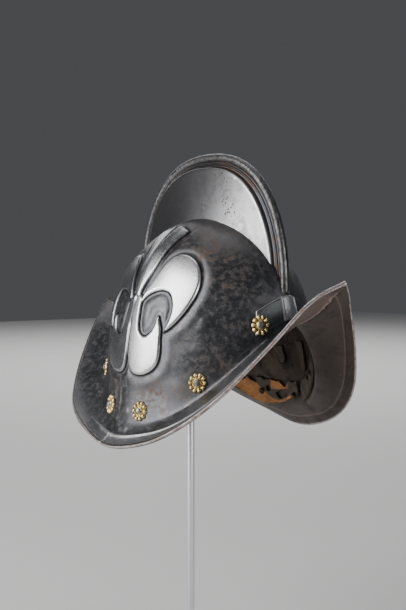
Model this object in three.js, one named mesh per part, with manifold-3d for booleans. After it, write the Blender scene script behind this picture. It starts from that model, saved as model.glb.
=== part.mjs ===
// A comb morion on a plain display stand, in millimetres, +Z up.
// The front of the helmet faces -Y and its right side lies at -X. The origin is on the floor under its middle.
import * as THREE from "three";
import { mergeVertices } from "three/addons/utils/BufferGeometryUtils.js";
import Module from "manifold-3d";

const wasm = await Module();
wasm.setup();

// Steel halves
const wall = 1.8; // thickness of the raised plate
const seam = 0.3; // gap between the two halves, and between pieces that touch
const skullHalfLength = 119.5; // from the middle to the brow, along the keel
const skullHalfWidth = 98; // from the middle to the side
const skullTaper = 0.66; // 0.5 gives a round skull from above, 1 a pointed one
const crownHeight = 192; // brim root at the sides up to the crown
const crownFlat = 1; // cut off the top of the dome, under the comb
const keelCurve = 106.5; // height of the curved part of the keel
const sideCurve = 146.5; // height of the curved part of the sides
const browRise = 93; // how far the brim root climbs from the sides to the brow
const browSweep = 2.8; // how late that climb starts
const rootFlare = 6; // how far the skull spreads where it turns into the brim
const flareSpeed = 8;

// Brim
const brimHalfLength = 187;
const brimHalfWidth = 123;
const brimDrop = 21.6; // brim edge below its root at the sides
const frontTipRise = 154; // lowest brim edge up to the front point
const rearTipRise = 130;
const brimSag = 0.1; // share by which the brim hangs below a straight line to its edge
const borderWidth = 14; // edge to the embossed border line
const borderRidge = 1;
const rollRadius = 1.9; // rolled outer edge

// Comb
const combHalfLength = 111.4;
const combSpring = 119; // brim root at the sides up to the level where the comb starts
const combRise = 132.2;
const combPower = 0.855; // 1 gives an ellipse, less a fuller arch
const combRim = 4.2; // radius of the rolled crest
const combBand = 11.5; // centre of the crest to the raised half moon
const combHalf = 8.2; // half thickness at the edge of the half moon
const combFoot = 12.5; // half thickness where the comb meets the crown

// Ornament on each side
const lilyHalfWidth = 67;
const lilyHeight = 138;
const lilyBottom = 43; // above the brim root at the sides
const lilyRelief = 2;

// Rosettes, rivets, joint plates and lining
const rosetteRadius = 9.5;
const rosetteThick = 2.6;
const rosettePetals = 10;
const rosetteNotch = 0.13; // share of the radius that the gaps between petals go in
const rosetteRise = 10.5; // square to the brim root
const rivetRadius = 1.4;
const rivetHead = 3.4;
const rivetDome = 1.5;
const plateHeight = 22;
const plateThick = 1.5;
const plateReach = 26; // degrees round from the keel to each end
const plateRise = 3; // above the brim root at the keel
const plateLevel = 0.4; // share of the brim root's fall that the plate does not follow
const leather = 2;
const bandHeight = 24;

// Stand
const standHeight = 262; // floor to the brim root at the sides
const rodRadius = 4;
const rodBack = 31; // rod behind the middle of the helmet
const headRadius = 30;
const headDepth = 34;
const baseRadius = 105;
const baseThick = 12;
const socketDepth = 8;

const crown = standHeight + crownHeight;
const lowestEdge = standHeight - brimDrop;
const combLevel = standHeight + combSpring;
const degree = Math.PI / 180;

// Brim edge: share of the half length, then share of the half width and of the tip rise, front and rear
const brimTable = [
  { along: 0, outFront: 1, upFront: 0, outRear: 1, upRear: 0 },
  { along: 0.25, outFront: 0.93, upFront: 0.047, outRear: 0.97, upRear: 0.092 },
  { along: 0.45, outFront: 0.848, upFront: 0.16, outRear: 0.876, upRear: 0.206 },
  { along: 0.63, outFront: 0.693, upFront: 0.345, outRear: 0.69, upRear: 0.374 },
  { along: 0.79, outFront: 0.441, upFront: 0.631, outRear: 0.439, upRear: 0.62 },
  { along: 0.91, outFront: 0.182, upFront: 0.9, outRear: 0.178, upRear: 0.877 },
  { along: 1, outFront: 0, upFront: 1, outRear: 0, upRear: 1 },
];

// Comb in section: share of the band inwards from the crest's centre, and half thickness as share of combHalf
const combTable = [
  { inward: 0.38, half: 0.4 },
  { inward: 0.5, half: 0.27 },
  { inward: 0.64, half: 0.46 },
  { inward: 0.78, half: 0.32 },
  { inward: 0.94, half: 0.42 },
  { inward: 1, half: 0.92 },
  { inward: 1.12, half: 1 },
];

// Lily outline on one side of its axis: share of the half width out, share of the height up
const lilyOuter = [
  { out: 0.29, up: 1.02 },
  { out: 0.26, up: 0.92 },
  { out: 0.16, up: 0.78 },
  { out: 0.1, up: 0.64 },
  { out: 0.27, up: 0.755 },
  { out: 0.4, up: 0.795 },
  { out: 0.58, up: 0.795 },
  { out: 0.78, up: 0.74 },
  { out: 0.95, up: 0.62 },
  { out: 1, up: 0.5 },
  { out: 0.96, up: 0.4 },
  { out: 0.63, up: 0.295 },
  { out: 0.6, up: 0.2 },
  { out: 0.59, up: 0.1 },
  { out: 0.5, up: 0.03 },
  { out: 0.35, up: 0 },
  { out: 0.17, up: 0.03 },
  { out: 0.05, up: 0.1 },
  { out: 0.02, up: 0.3 },
];
const lilyEye = { out: 0.385, up: 0.42, halfOut: 0.28, halfUp: 0.155, lean: -0.35 };

// Rosettes on each side: degrees round the skull from the brow, and share of rosetteRise
const rosetteTable = [
  { angle: 23.6, rise: 1.34 },
  { angle: 51.5, rise: 1.1 },
  { angle: 79.6, rise: 0.85 },
  { angle: 103.7, rise: 0.86 },
  { angle: 131, rise: 1 },
  { angle: 157, rise: 1.2 },
];

// Lining remains: side (1 is left), degrees from and to, share of the band height kept at each end
const liningTable = [
  { side: 1, from: 42, to: 72, low: 0.55, high: 1 },
  { side: 1, from: 74, to: 142, low: 0, high: 1 },
  { side: -1, from: 97, to: 141, low: 0.1, high: 1 },
];

function toManifold(geometry) {
  const bare = geometry.index ? geometry.toNonIndexed() : geometry.clone();
  bare.deleteAttribute("normal");
  bare.deleteAttribute("uv");
  const merged = mergeVertices(bare, 1e-4);
  return new wasm.Manifold(
    new wasm.Mesh({
      numProp: 3,
      vertProperties: merged.attributes.position.array,
      triVerts: new Uint32Array(merged.index.array),
    }),
  );
}

function toGeometry(manifold) {
  const mesh = manifold.getMesh();
  const position = new Float32Array(mesh.numVert * 3);
  for (let i = 0; i < mesh.numVert; i++) {
    const start = i * mesh.numProp;
    position.set(mesh.vertProperties.subarray(start, start + 3), i * 3);
  }
  const geometry = new THREE.BufferGeometry();
  geometry.setAttribute("position", new THREE.BufferAttribute(position, 3));
  geometry.setIndex(new THREE.BufferAttribute(new Uint32Array(mesh.triVerts), 1));
  geometry.computeVertexNormals();
  return geometry;
}

// A closed solid through a row of rings with the same number of points
function loft(rings, closed = false) {
  const count = rings[0].length;
  const points = rings.flat();
  const faces = [];
  const last = closed ? rings.length : rings.length - 1;
  for (let r = 0; r < last; r++) {
    const next = (r + 1) % rings.length;
    for (let i = 0; i < count; i++) {
      const j = (i + 1) % count;
      const [a, b] = [r * count + i, r * count + j];
      const [c, d] = [next * count + j, next * count + i];
      faces.push(a, b, c, a, c, d);
    }
  }
  if (!closed) {
    for (const [ring, turn] of [[0, 1], [rings.length - 1, -1]]) {
      const middle = new THREE.Vector3();
      rings[ring].forEach((p) => middle.addScaledVector(p, 1 / count));
      points.push(middle);
      for (let i = 0; i < count; i++) {
        const [a, b] = [ring * count + i, ring * count + ((i + 1) % count)];
        faces.push(points.length - 1, turn > 0 ? b : a, turn > 0 ? a : b);
      }
    }
  }
  const geometry = new THREE.BufferGeometry();
  const position = new Float32Array(points.flatMap((p) => [p.x, p.y, p.z]));
  geometry.setAttribute("position", new THREE.BufferAttribute(position, 3));
  geometry.setIndex(faces);
  return toManifold(geometry);
}

function box(low, high) {
  const size = new THREE.Vector3().subVectors(high, low);
  const geometry = new THREE.BoxGeometry(size.x, size.y, size.z);
  const middle = new THREE.Vector3().addVectors(low, high).multiplyScalar(0.5);
  return toManifold(geometry.translate(middle.x, middle.y, middle.z));
}

// Skull

// Height of the brim root, turn round the skull from the brow
function rootHeight(turn) {
  return standHeight + browRise * Math.abs(Math.cos(turn)) ** browSweep;
}

// Upright below the curve and elliptic within it
function roundOff(height, curve) {
  const over = Math.max(0, height - (crown - curve)) / curve;
  return Math.sqrt(1 - over * over);
}

// A point on the skull at this height above its brim root, moved inwards by inset
function onSkull(turn, rise, inset) {
  const root = rootHeight(turn);
  const height = root + rise;
  const flare = rootFlare * (1 - rise / (crown - root)) ** flareSpeed;
  const length = (skullHalfLength + flare / 2) * roundOff(height, keelCurve) - inset;
  const width = (skullHalfWidth + flare) * roundOff(height, sideCurve) - inset;
  const out = Math.sign(Math.sin(turn)) * Math.abs(Math.sin(turn)) ** (2 * skullTaper);
  return new THREE.Vector3(width * out, -length * Math.cos(turn), height);
}

function skullNormal(turn, rise) {
  const step = 0.02;
  const across = onSkull(turn + step, rise, 0).sub(onSkull(turn - step, rise, 0));
  const up = onSkull(turn, rise + 2, 0).sub(onSkull(turn, rise - 2, 0));
  return across.cross(up).normalize();
}

const skullTurns = 40;

// Rings of the skull from its root to its crown, closer where it spreads and where it closes
const skullLevels = [0, 0.055, 0.12, 0.3, 0.5, 0.69, 0.85, 0.96, 1];

// The skull as a solid, grown or shrunk by inset, down to its root or with its walls carried on down
function skullSolid(inset, carryDown = 0) {
  const rings = [];
  const ring = (share) =>
    Array.from({ length: skullTurns }, (_, i) => {
      const turn = (i / skullTurns) * 2 * Math.PI;
      const full = crown - crownFlat - rootHeight(turn);
      const point = onSkull(turn, full * share, inset);
      point.z -= inset * share;
      return point;
    });
  if (carryDown) {
    const foot = ring(0);
    foot.forEach((p) => (p.z = lowestEdge - carryDown));
    rings.push(foot);
  }
  skullLevels.forEach((share) => rings.push(ring(share)));
  return loft(rings);
}

// Brim

// The brim's edge from its front tip to its rear tip: out from the keel, up, and along to the rear
const brimCurve = new THREE.CatmullRomCurve3(
  [
    ...brimTable
      .map((row) => brimStation(row.outFront, row.upFront * frontTipRise, -row.along))
      .reverse(),
    ...brimTable.map((row) => brimStation(row.outRear, row.upRear * rearTipRise, row.along)).slice(1),
  ],
  false,
  "centripetal",
);

function brimStation(out, up, along) {
  return new THREE.Vector3(out * brimHalfWidth, up, along * brimHalfLength);
}

// A point of the brim's outer edge
function brimEdge(turn) {
  const along = -Math.cos(turn) * brimHalfLength;
  let [low, high] = [0, 1];
  for (let i = 0; i < 24; i++) {
    const middle = (low + high) / 2;
    if (brimCurve.getPoint(middle).z < along) low = middle;
    else high = middle;
  }
  const at = brimCurve.getPoint((low + high) / 2);
  return new THREE.Vector3(Math.sign(Math.sin(turn)) * at.x, along, lowestEdge + at.y);
}

function brimPoint(turn, across) {
  const root = onSkull(turn, 0, wall * 0.6);
  const edge = brimEdge(turn);
  const sag = brimSag * root.distanceTo(edge) * 4 * across * (1 - across);
  const point = root.lerp(edge, across);
  point.z -= sag;
  return point;
}

function brimNormal(turn, across) {
  const step = 0.01;
  const inside = Math.max(0, across - step);
  const outside = Math.min(1, across + step);
  const out = brimPoint(turn, outside).sub(brimPoint(turn, inside));
  const round = brimPoint(turn + step, across).sub(brimPoint(turn - step, across));
  return out.cross(round).normalize();
}

const brimTurns = 44;

// One sheet all round: its upper side out to the rolled edge and its underside back to the skull
function brimSolid() {
  const rings = Array.from({ length: brimTurns }, (_, i) => {
    const turn = (i / brimTurns) * 2 * Math.PI;
    const width = brimPoint(turn, 0).distanceTo(brimPoint(turn, 1));
    const inwards = (distance) => 1 - distance / width;
    const border = inwards(borderWidth);
    const rows = [
      [0, 0],
      [0.5 * border, 0],
      [inwards(borderWidth + borderRidge), 0],
      [border, borderRidge],
      [inwards(borderWidth - borderRidge), 0],
      [inwards(2.2 * rollRadius), 0],
      [inwards(rollRadius), rollRadius - wall / 2],
      [1, 0],
      [1, -wall],
      [inwards(rollRadius), -rollRadius - wall / 2],
      [inwards(2.2 * rollRadius), -wall],
      [0.6 * border, -wall],
      [0, -wall],
    ];
    return rows.map(([across, lift]) =>
      brimPoint(turn, across).addScaledVector(brimNormal(turn, across), lift),
    );
  });
  return loft(rings, true);
}

// Comb

const combTurns = 24;

// Centre of the crest, turn from 0 at the front to 180 degrees at the rear
function combCrest(turn) {
  const along = Math.sign(Math.cos(turn)) * Math.abs(Math.cos(turn)) ** combPower;
  const up = Math.abs(Math.sin(turn)) ** combPower;
  return new THREE.Vector3(0, -combHalfLength * along, combLevel + combRise * up);
}

// A point of the comb's side at a distance inwards from the crest
function combPoint(turn, inward, half) {
  const crest = combCrest(turn);
  const middle = new THREE.Vector3(0, 0, combLevel);
  const reach = crest.distanceTo(middle);
  return crest.lerp(middle, inward / reach).setX(half);
}

// Half thickness of the comb, thinner towards its two ends
function combSwell(turn) {
  return 0.45 + 0.55 * Math.sin(turn) ** 0.7;
}

function combSide(turn) {
  const steps = [0, 45, 90, 135].map((angle) => ({
    inward: -combRim * Math.cos(angle * degree),
    half: combRim * Math.sin(angle * degree),
  }));
  const swell = combSwell(turn);
  const relief = combTable.map((row) => ({
    inward: row.inward * combBand,
    half: row.half * combHalf * (row.half < 0.5 ? 1 : swell),
  }));
  const reach = combCrest(turn).distanceTo(new THREE.Vector3(0, 0, combLevel));
  const foot = { inward: reach * 0.45, half: combFoot * swell };
  const inner = { inward: reach * 0.97, half: combFoot * swell };
  return [...steps, ...relief, foot, inner].map((row) => combPoint(turn, row.inward, row.half));
}

function combSolid() {
  const rings = [];
  for (let i = 0; i <= combTurns; i++) {
    const turn = (i / combTurns) * Math.PI;
    const side = combSide(turn);
    const back = side.slice(1).reverse().map((p) => p.clone().setX(-p.x));
    rings.push([...side, ...back]);
  }
  return loft(rings);
}

// The hollow of the comb, behind its half moon
function combHollow() {
  const rings = [];
  const inset = 1.12 * combBand + wall;
  for (let i = 1; i < combTurns; i += 2) {
    const turn = (i / combTurns) * Math.PI;
    const swell = combSwell(turn);
    const reach = combCrest(turn).distanceTo(new THREE.Vector3(0, 0, combLevel));
    const [thin, thick] = [combHalf * swell - wall, combFoot * swell - wall];
    const rows = [[inset, thin], [reach * 0.45, thick], [reach * 0.96, thick]];
    const side = rows.map(([inward, half]) => combPoint(turn, inward, half));
    const back = side.slice().reverse().map((p) => p.clone().setX(-p.x));
    rings.push([...side, ...back]);
  }
  return loft(rings);
}

// Ornament

function lilyShape() {
  const place = (row, side) =>
    new THREE.Vector2(side * row.out * lilyHalfWidth, row.up * lilyHeight);
  const left = lilyOuter.map((row) => place(row, 1));
  const right = lilyOuter.map((row) => place(row, -1)).reverse();
  const shape = new THREE.Shape([...left, ...right]);
  for (const side of [1, -1]) {
    const eye = new THREE.Path();
    eye.absellipse(
      side * lilyEye.out * lilyHalfWidth,
      lilyEye.up * lilyHeight,
      lilyEye.halfOut * lilyHalfWidth,
      lilyEye.halfUp * lilyHeight,
      0,
      2 * Math.PI,
      false,
      side * lilyEye.lean,
    );
    shape.holes.push(new THREE.Path(eye.getPoints(12)));
  }
  return shape;
}

// The lily as a raised plate that follows the skull on the left side
function lilySolid() {
  const reach = skullHalfWidth + rootFlare + lilyRelief;
  const geometry = new THREE.ExtrudeGeometry(lilyShape(), { depth: reach, bevelEnabled: false });
  geometry.rotateX(90 * degree);
  geometry.rotateZ(90 * degree);
  geometry.translate(0, 0, standHeight + lilyBottom);
  const blank = toManifold(geometry);
  return skullSolid(-lilyRelief).intersect(blank).subtract(skullSolid(wall / 2));
}

// Rosettes and rivets

function rivetPlace(side, row) {
  const turn = side * row.angle * degree;
  const step = 0.01;
  const climb = rootHeight(turn + step) - rootHeight(turn - step);
  const run = onSkull(turn + step, 0, 0).setZ(0).distanceTo(onSkull(turn - step, 0, 0).setZ(0));
  const rise = rosetteRise * row.rise * Math.hypot(1, climb / run);
  return {
    turn,
    height: rootHeight(turn) + rise,
    speed: run / (2 * step),
    at: onSkull(turn, rise, 0),
    normal: skullNormal(turn, rise),
  };
}

// Turns a geometry made along +Z to stand on the skull
function stand(geometry, place) {
  const quaternion = new THREE.Quaternion();
  quaternion.setFromUnitVectors(new THREE.Vector3(0, 0, 1), place.normal);
  geometry.applyQuaternion(quaternion);
  return geometry.translate(place.at.x, place.at.y, place.at.z);
}

function lathe(rows, segments) {
  const points = rows.map(([radius, height]) => new THREE.Vector2(radius, height));
  return new THREE.LatheGeometry(points, segments).rotateX(90 * degree);
}

// A ring of petals bent to the skull
function rosetteSolid(place, under) {
  const count = 2 * rosettePetals;
  const low = under + seam;
  const ring = (radius, notch, lift) =>
    Array.from({ length: count }, (_, i) => {
      const angle = (i / count) * 2 * Math.PI;
      const out = radius * (i % 2 ? 1 - notch : 1);
      const turn = place.turn + (out * Math.cos(angle)) / place.speed;
      const rise = place.height + out * Math.sin(angle) - rootHeight(turn);
      return onSkull(turn, rise, 0).addScaledVector(place.normal, lift);
    });
  const hole = rivetRadius + seam;
  const rings = [
    ring(hole, 0, low),
    ring(hole, 0, low + rosetteThick),
    ring(rosetteRadius, rosetteNotch, low + rosetteThick * 0.4),
    ring(rosetteRadius, rosetteNotch, low),
  ];
  return loft(rings.reverse(), true);
}

function rivetSolid(place, top, inside) {
  const rows = [
    [0, top + rivetDome],
    [rivetHead, top],
    [rivetRadius, top],
    [rivetRadius, -inside],
    [rivetHead, -inside - seam],
    [0, -inside - rivetDome],
  ];
  return toManifold(stand(lathe(rows.reverse(), 8), place));
}

function rivetHole(place) {
  const radius = rivetRadius + seam;
  const reach = 4 * rosetteThick;
  const rows = [[0, -reach], [radius, -reach], [radius, reach], [0, reach]];
  return toManifold(stand(lathe(rows, 8), place));
}

// A strip bent to the skull between two depths, with rows from its lower to its upper edge
function strip(from, to, rows, edges, inner, outer) {
  const step = 360 / skullTurns;
  const turns = [from];
  for (let turn = Math.ceil(from / step) * step; turn < to; turn += step) {
    if (turn > from) turns.push(turn);
  }
  turns.push(to);
  const rings = turns.map((turn) => {
    const [low, high] = edges((turn - from) / (to - from));
    const side = (inset) =>
      rows.map((share) => onSkull(turn * degree, low + (high - low) * share, inset));
    return [...side(inner), ...side(outer).reverse()];
  });
  return loft(rings);
}

function jointPlate(middle) {
  const edges = (share) => {
    const turn = (middle + (2 * share - 1) * plateReach) * degree;
    const low = plateRise + plateLevel * (rootHeight(middle * degree) - rootHeight(turn));
    return [low, low + plateHeight];
  };
  const rows = [0, 0.3, 0.65, 1];
  return strip(middle - plateReach, middle + plateReach, rows, edges, -seam, -seam - plateThick);
}

function liningSolid(row) {
  const [from, to] = row.side > 0 ? [row.from, row.to] : [-row.to, -row.from];
  const edges = (share) => {
    const along = row.side > 0 ? share : 1 - share;
    return [bandHeight * row.low * (1 - along), bandHeight * row.high];
  };
  const near = wall + 2 * seam;
  return strip(from, to, [0, 0.45, 1], edges, near + leather, near);
}

// Stand

function standPiece(rows, segments) {
  return toManifold(lathe(rows, segments).translate(0, rodBack, 0));
}

function rodSocket(low, high) {
  const radius = rodRadius + seam;
  return standPiece([[0, low], [radius, low], [radius, high], [0, high]], 16);
}

// The head that carries the helmet, cut to the inside of the crown
function headSolid() {
  const foot = crown - headDepth - socketDepth;
  const blank = standPiece(
    [
      [0, foot],
      [headRadius * 0.5, foot],
      [headRadius, foot + 2 * socketDepth],
      [headRadius, crown],
      [0, crown],
    ],
    20,
  );
  return blank.intersect(skullSolid(wall + seam)).subtract(rodSocket(foot - 1, foot + socketDepth));
}

function rodSolid() {
  const top = crown - headDepth - seam;
  const foot = baseThick - socketDepth + seam;
  return standPiece([[0, foot], [rodRadius, foot], [rodRadius, top], [0, top]], 16);
}

function baseSolid() {
  const bevel = baseThick / 6;
  const blank = standPiece(
    [
      [0, 0],
      [baseRadius, 0],
      [baseRadius, baseThick - bevel],
      [baseRadius - bevel, baseThick],
      [0, baseThick],
    ],
    32,
  );
  return blank.subtract(rodSocket(baseThick - socketDepth, baseThick + 1));
}

// Build

const big = 2 * (brimHalfLength + standHeight + crownHeight);
const inside = skullSolid(wall, 2 * brimDrop);
const leftSide = box(new THREE.Vector3(seam / 2, -big, -big), new THREE.Vector3(big, big, big));
const places = rosetteTable.map((row) => rivetPlace(1, row));
let leftHalf = skullSolid(0)
  .add(combSolid())
  .add(brimSolid())
  .add(lilySolid())
  .subtract(inside)
  .subtract(combHollow())
  .intersect(leftSide);
for (const place of places) leftHalf = leftHalf.subtract(rivetHole(place));
const holes = [1, -1].flatMap((side) => rosetteTable.map((row) => rivetHole(rivetPlace(side, row))));
const drill = (solid) => holes.reduce((left, hole) => left.subtract(hole), solid);

const looks = {
  half: { color: 0x4a4c50, roughness: 0.38, metalness: 0.95 },
  plate: { color: 0x3c3f42, roughness: 0.42, metalness: 0.95 },
  rosette: { color: 0xc9a24a, roughness: 0.35, metalness: 1 },
  rivet: { color: 0x8d8f93, roughness: 0.35, metalness: 1 },
  lining: { color: 0xa8703f, roughness: 0.85, metalness: 0 },
  rod: { color: 0xc8ccd2, roughness: 0.12, metalness: 1 },
  base: { color: 0x1c1d20, roughness: 0.5, metalness: 0.3 },
};

const group = new THREE.Group();

function addPiece(name, solid, look) {
  const mesh = new THREE.Mesh(toGeometry(solid), new THREE.MeshStandardMaterial(looks[look]));
  mesh.name = name;
  group.add(mesh);
}

addPiece("left_half", leftHalf, "half");
addPiece("right_half", leftHalf.mirror([1, 0, 0]), "half");
addPiece("front_joint_plate", drill(jointPlate(0)), "plate");
addPiece("rear_joint_plate", drill(jointPlate(180)), "plate");
for (const [name, side] of [["left", 1], ["right", -1]]) {
  rosetteTable.forEach((row, i) => {
    const place = rivetPlace(side, row);
    const overPlate = row.angle < plateReach || row.angle > 180 - plateReach;
    const under = overPlate ? plateThick + seam : 0;
    const lined = liningTable.some(
      (band) => band.side === side && row.angle > band.from && row.angle < band.to,
    );
    const inner = wall + 2 * seam + (lined ? leather + 2 * seam : 0);
    addPiece(`${name}_rosette_${i + 1}`, rosetteSolid(place, under), "rosette");
    addPiece(`${name}_rivet_${i + 1}`, rivetSolid(place, under + rosetteThick + 2 * seam, inner), "rivet");
  });
}
liningTable.forEach((row, i) => {
  addPiece(`lining_${i + 1}`, drill(liningSolid(row)), "lining");
});
addPiece("stand_head", headSolid(), "base");
addPiece("stand_rod", rodSolid(), "rod");
addPiece("stand_base", baseSolid(), "base");

export default group;
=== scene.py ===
import math

import bmesh
import bpy
import numpy as np
from bpy.props import FloatProperty, FloatVectorProperty, IntProperty, PointerProperty
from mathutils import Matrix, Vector


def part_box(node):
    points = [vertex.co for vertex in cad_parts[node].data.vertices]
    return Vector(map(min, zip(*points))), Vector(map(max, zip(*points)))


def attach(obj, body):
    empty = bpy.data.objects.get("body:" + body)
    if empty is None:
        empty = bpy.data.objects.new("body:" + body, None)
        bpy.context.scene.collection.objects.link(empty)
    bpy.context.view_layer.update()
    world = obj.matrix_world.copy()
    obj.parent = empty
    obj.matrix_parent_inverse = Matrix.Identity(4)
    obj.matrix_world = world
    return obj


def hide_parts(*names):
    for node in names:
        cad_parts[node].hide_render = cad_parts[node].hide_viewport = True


bl_info = {
    "name": "Comb Morion",
    "version": (1, 0, 0),
    "blender": (4, 5, 0),
    "location": "View3D > Sidebar > Morion",
    "description": "A comb morion of about 1600 on a plain rod stand",
    "category": "Object",
}

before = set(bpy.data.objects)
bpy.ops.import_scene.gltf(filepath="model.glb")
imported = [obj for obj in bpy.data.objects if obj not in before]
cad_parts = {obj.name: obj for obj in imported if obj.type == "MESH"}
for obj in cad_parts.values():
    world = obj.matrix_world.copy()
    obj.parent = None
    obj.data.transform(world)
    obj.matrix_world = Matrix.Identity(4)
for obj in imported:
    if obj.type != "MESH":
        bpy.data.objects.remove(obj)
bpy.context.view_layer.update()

MM = 0.001
BASE_BOX, ROD_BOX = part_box("stand_base"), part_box("stand_rod")
SIDES = {1: "left", -1: "right"}
CROWN_GAP = 0.4 * MM  # what the skull's top row stays below the crown
END_RADIUS = 0.1  # metres, turns an angle at the ends of a joint plate into a length
FAR, PLAIN = 1e3, 50.0  # millimetres: far from an edge, and no ornament near
ROOT_ROWS = 8  # rows that are softened above and below the brim root
FLOOR_REACH = 6.0  # metres

# Brim edge: share of the half length, then half width and tip rise as shares in front, then behind
BRIM_EDGE = (
    (0.0, 1.0, 0.0, 1.0, 0.0),
    (0.25, 0.93, 0.047, 0.97, 0.092),
    (0.45, 0.848, 0.16, 0.876, 0.206),
    (0.63, 0.693, 0.345, 0.69, 0.374),
    (0.79, 0.441, 0.631, 0.439, 0.62),
    (0.91, 0.182, 0.9, 0.178, 0.877),
    (1.0, 0.0, 1.0, 0.0, 1.0),
)

# Lily outlines for one side of its axis: millimetres out from the axis and up from the foot, in this size
LILY_OUT, LILY_UP = 67, 138
SIDE_PETAL = (
    (9, 73), (10.5, 77.5), (16, 88), (20.5, 99), (23, 106), (28, 110), (34, 112), (43, 110.5),
    (53, 104.5), (60, 96), (64, 86), (64.5, 76), (61, 64), (55, 53), (48.5, 45.5), (42, 41), (42, 41),
    (42, 41), (45, 47.5), (47, 55.5), (47, 64), (44, 71.5), (40, 76.5), (35, 79), (28, 79.3),
    (20, 77), (13, 73), (9, 68),
)
LOBE = (
    (0, 74), (5, 74.5), (9, 70), (9, 63), (10, 54.5), (11, 46.5), (13.5, 39.5), (19, 35.5), (24, 36.5),
    (30, 41.5), (32.6, 48.5), (34, 55), (34, 55), (34, 55), (37, 48.5), (39.3, 42), (39, 34.5),
    (40, 26.5), (40, 18.5), (38, 10.5), (32, 4.5), (23, 0.7), (14, 0.2), (7, 2.5), (3, 8.5),
    (1.2, 17.5), (1, 31.5), (0.9, 45), (0, 47),
)
MIDDLE_PETAL = (
    (0, 71), (0, 71), (3.5, 76), (7.5, 87), (10.5, 96), (12.3, 106), (13.2, 114), (15, 121.5), (18, 128.5),
    (20, 134), (20, 134), (9, 138), (0, 139.5),
)
LEAF = (
    (7, 73), (9.5, 80.5), (12.8, 91), (14.6, 100), (15.3, 107), (14.2, 115), (14.2, 115), (13.6, 106),
    (11.8, 97), (9.3, 87),
)

# Dents and bulges of the right side, in millimetres: forward of the middle, up, two radii, depth or height
DENTS = (
    (64, 337, 9, 5, -1.0),
    (56, 343, 7, 4, -0.7),
    (76, 352, 7, 9, 0.8),
    (-18, 283, 4, 12, -1.2),
    (-8, 281, 3, 10, -0.9),
    (88, 372, 8, 10, -0.5),
    (30, 288, 14, 8, -0.5),
    (60, 296, 10, 8, 0.45),
    (24, 312, 9, 12, 0.4),
    (98, 340, 7, 12, -0.5),
)

# Rust patches, fainter on the left: millimetres forward of the middle and up, radius and strength
RUST = (
    (86, 312, 13, 0.8),
    (67, 290, 12, 0.5),
    (30, 287, 14, 0.9),
    (44, 290, 10, 0.8),
    (86, 388, 12, 0.6),
    (68, 414, 18, 0.7),
    (50, 425, 14, 0.6),
    (20, 440, 26, 0.5),
    (-22, 288, 12, 0.6),
    (-30, 310, 16, 0.35),
    (100, 352, 9, 0.4),
)

# Bare bright chips of the right side: millimetres forward of the middle and up, radius and strength
CHIPS = (
    (-5, 247, 1.6, 1.0),
    (10, 254, 2.2, 0.8),
    (5, 271, 1.8, 0.7),
    (73, 358, 1.2, 0.6),
    (180, 391, 5.0, 0.8),
    (171, 381, 3.0, 0.6),
)

# Comb between roll and half moon: share of the way in, share of the half thickness
COMB_HOLLOW = (
    (0.02, 0.22), (0.1, 0.2), (0.2, 0.25), (0.28, 0.37), (0.36, 0.42), (0.44, 0.38), (0.52, 0.28),
    (0.6, 0.25), (0.72, 0.27), (0.82, 0.32), (0.9, 0.42), (0.95, 0.62),
)

# Raised edge of the half moon: way in as share of the band, share of the half thickness
COMB_MOON = ((0, 0.88), (0.03, 0.95), (0.12, 1))

# Rosettes on each side: degrees round from the brow, share of the rosette rise
ROSETTES = ((23.6, 1.34), (51.5, 1.1), (79.6, 0.85), (103.7, 0.86), (131.0, 1.0), (157.0, 1.2))

# Section of a rosette from its hole to its rim: share of the radius, height of the collar, of a petal
ROSETTE_SECTION = (
    (0.2, 0, 0), (0.21, 0.8, 0), (0.27, 0.98, 0), (0.34, 1, 0), (0.41, 0.9, 0), (0.46, 0.5, 0),
    (0.5, 0.28, 0.1), (0.55, 0.25, 0.4), (0.62, 0.25, 0.62), (0.7, 0.25, 0.72), (0.78, 0.25, 0.74),
    (0.86, 0.25, 0.66), (0.93, 0.25, 0.46), (0.97, 0.25, 0.25), (1, 0.18, 0.05), (1, 0, 0),
)

# Lining remains: side (1 is left), degrees from and to, share of the band height lost at the first end
LINING = ((1, 42, 72, 0.55), (1, 74, 142, 0.0), (-1, 97, 141, 0.1))

# Lower edge of the longest lining piece: degrees, height above the root in millimetres
HANGING = ((74, 9), (82, 6), (91, -1), (103, -5), (111, -3), (117, 0), (142, 0))

# Upper edge of its bright tan part: degrees, height above the root in millimetres
BRIGHT = ((74, 6), (84, 8), (91, 1.5), (97, 3), (103, 10), (109, 18), (114, 30), (142, 30))

# Holes torn in the longest lining piece: degrees, height as share of the band, half sizes of both
TEARS = ((89, 0.36, 5.2, 0.2), (99, 0.6, 1.6, 0.13), (109, 0.82, 3.0, 0.12), (123, 0.7, 2.4, 0.1))

# Tongues of leather above the band: degrees, then foot, half width and height in millimetres, lean
FLAPS = ((69, 32, 6.2, 30, 0.35), (90, 42, 5.5, 18, 0.3))

# View: way back to the camera, its distance and shift to the left, the height it looks at, the lens
VIEW_BACK = (-0.6152, -0.7874, 0.0384)
VIEW_DISTANCE, VIEW_SHIFT, VIEW_HEIGHT, LENS = 1.0662, 0.0065, 0.3675, 62.92

# Lights, with metres from where they aim: name, across the view, toward the camera, up, size, watts
LIT_HEIGHT = 0.37
LIGHTS = (
    ("key", -1.25, 0.55, 0.55, (0.9, 1.3), 22),
    ("side", -1.3, 0.1, 0.05, (0.35, 1.2), 4),
    ("fill", 1.2, 1.3, 0.2, (0.7, 0.9), 15),
    ("above", 0.0, -0.3, 1.4, (0.8, 0.8), 3),
)


def length(name, value, text):
    return FloatProperty(name=name, description=text, default=value * MM, unit="LENGTH", subtype="DISTANCE")


def ratio(name, value, text):
    return FloatProperty(name=name, description=text, default=value)


def tint(name, value, text):
    return FloatVectorProperty(name=name, description=text, default=value, min=0, max=1, subtype="COLOR")


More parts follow.
